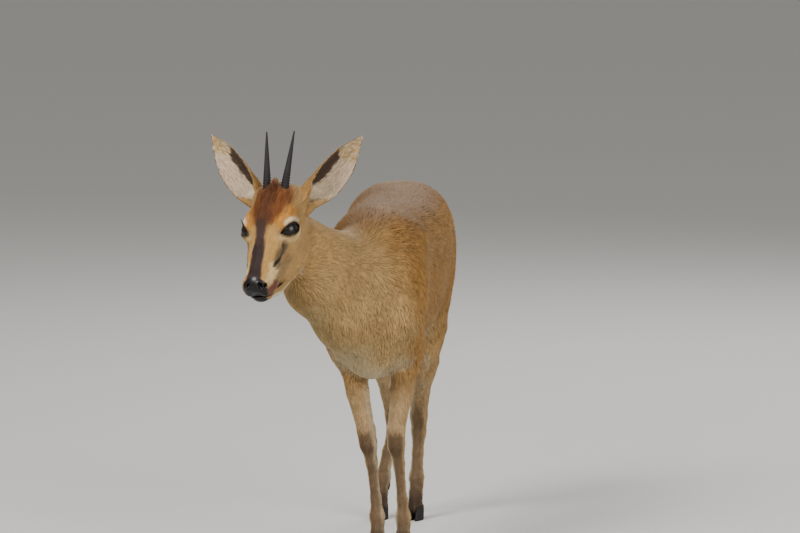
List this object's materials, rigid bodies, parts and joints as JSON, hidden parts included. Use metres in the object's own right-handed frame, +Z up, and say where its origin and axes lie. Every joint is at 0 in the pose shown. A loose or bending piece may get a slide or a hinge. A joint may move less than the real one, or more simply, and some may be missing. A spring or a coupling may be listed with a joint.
{
  "type": "common duiker",
  "caption": "Life-size standing model of a small antelope with short straight horns, head lowered and turned to its right.",
  "frame": {"origin": "middle of the bounding box on the floor, under the soles of the hooves", "axes": "+Z up, the animal faces -Y, +X is the animal's own left"},
  "size_m": [0.2884, 0.7592, 0.6262],
  "materials": {
    "coat_body": "short tawny coat with dark ticking",
    "coat_head": "short chestnut and buff coat with a dark blaze",
    "coat_leg": "very short greyish buff coat, dark down the front",
    "coat_ear": "thin skin with pale hair inside and tan hair behind",
    "coat_tail": "black above and white below",
    "horn": "black horn, ringed near the base and smooth above",
    "hoof": "black horn with fine growth lines",
    "eye": "wet dark brown, almost black"
  },
  "bodies": {
    "root": {"torso": "coat_body", "neck": "coat_body", "head": "coat_head", "tail": "coat_tail", "ear_left": "coat_ear", "horn_left": "horn", "eye_left": "eye", "ear_right": "coat_ear", "horn_right": "horn", "eye_right": "eye", "foreleg_left": "coat_leg", "forecannon_left": "coat_leg", "forehoof_left_inner": "hoof", "foredewclaw_left_inner": "hoof", "forehoof_left_outer": "hoof", "foredewclaw_left_outer": "hoof", "foreleg_right": "coat_leg", "forecannon_right": "coat_leg", "forehoof_right_inner": "hoof", "foredewclaw_right_inner": "hoof", "forehoof_right_outer": "hoof", "foredewclaw_right_outer": "hoof", "hindleg_left": "coat_leg", "hindcannon_left": "coat_leg", "hindhoof_left_inner": "hoof", "hinddewclaw_left_inner": "hoof", "hindhoof_left_outer": "hoof", "hinddewclaw_left_outer": "hoof", "hindleg_right": "coat_leg", "hindcannon_right": "coat_leg", "hindhoof_right_inner": "hoof", "hinddewclaw_right_inner": "hoof", "hindhoof_right_outer": "hoof", "hinddewclaw_right_outer": "hoof"}
  },
  "joints": []
}
